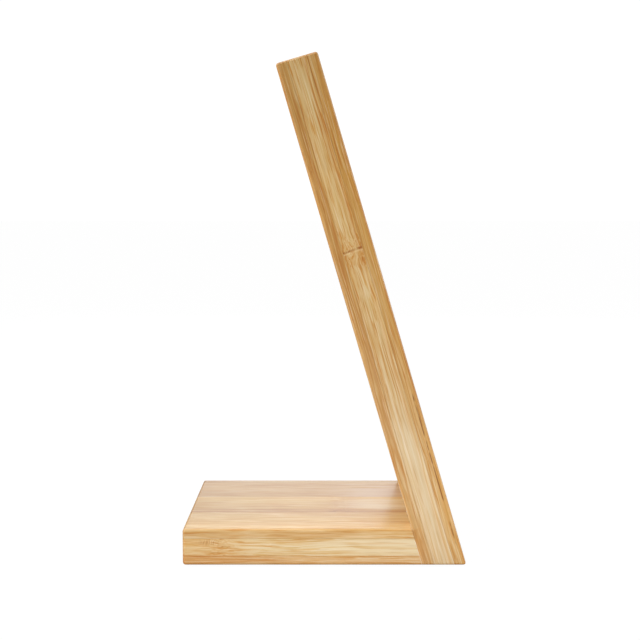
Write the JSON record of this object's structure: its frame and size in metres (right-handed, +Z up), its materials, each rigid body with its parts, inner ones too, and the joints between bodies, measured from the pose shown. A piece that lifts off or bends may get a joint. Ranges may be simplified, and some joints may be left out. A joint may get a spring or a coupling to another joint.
{
  "type": "phone stand",
  "caption": "Laminated bamboo phone stand: a level base and a plain board that leans back over it, with a magnet ring hidden behind the board's front face.",
  "frame": {"origin": "on the desk, at the centre of the rectangle that the stand covers", "axes": "+Z up; -Y is the front, the side that the phone is on and that the board's face looks to; +X along the width"},
  "size_m": [0.08, 0.1, 0.1791],
  "materials": {
    "bamboo_face": "satin clear lacquer",
    "bamboo_core": "satin clear lacquer",
    "beech": "plain",
    "nickel": "nickel plated",
    "shunt_steel": "cold rolled",
    "silicone": "matte"
  },
  "bodies": {
    "root": {"base_bottom_strip_1": "bamboo_face", "base_bottom_strip_2": "bamboo_face", "base_bottom_strip_3": "bamboo_face", "base_bottom_strip_4": "bamboo_face", "base_core_strip_1": "bamboo_core", "base_core_strip_2": "bamboo_core", "base_core_strip_3": "bamboo_core", "base_core_strip_4": "bamboo_core", "base_core_strip_5": "bamboo_core", "base_top_strip_1": "bamboo_face", "base_top_strip_2": "bamboo_face", "base_top_strip_3": "bamboo_face", "base_top_strip_4": "bamboo_face", "board_front_strip_1": "bamboo_face", "board_front_strip_2": "bamboo_face", "board_front_strip_3": "bamboo_face", "board_front_strip_4": "bamboo_face", "board_core_strip_1": "bamboo_core", "board_core_strip_2": "bamboo_core", "board_core_strip_3": "bamboo_core", "board_core_strip_4": "bamboo_core", "board_core_strip_5": "bamboo_core", "board_rear_strip_1": "bamboo_face", "board_rear_strip_2": "bamboo_face", "board_rear_strip_3": "bamboo_face", "board_rear_strip_4": "bamboo_face", "joint_dowel_1": "beech", "joint_dowel_2": "beech", "joint_dowel_3": "beech", "ring_magnet_01": "nickel", "ring_magnet_02": "nickel", "ring_magnet_03": "nickel", "ring_magnet_04": "nickel", "ring_magnet_05": "nickel", "ring_magnet_06": "nickel", "ring_magnet_07": "nickel", "ring_magnet_08": "nickel", "ring_magnet_09": "nickel", "ring_magnet_10": "nickel", "ring_magnet_11": "nickel", "ring_magnet_12": "nickel", "ring_magnet_13": "nickel", "ring_magnet_14": "nickel", "ring_magnet_15": "nickel", "ring_magnet_16": "nickel", "bar_magnet": "nickel", "shunt_ring": "shunt_steel", "foot_front_left": "silicone", "foot_front_right": "silicone", "foot_rear_left": "silicone", "foot_rear_right": "silicone"}
  },
  "joints": []
}
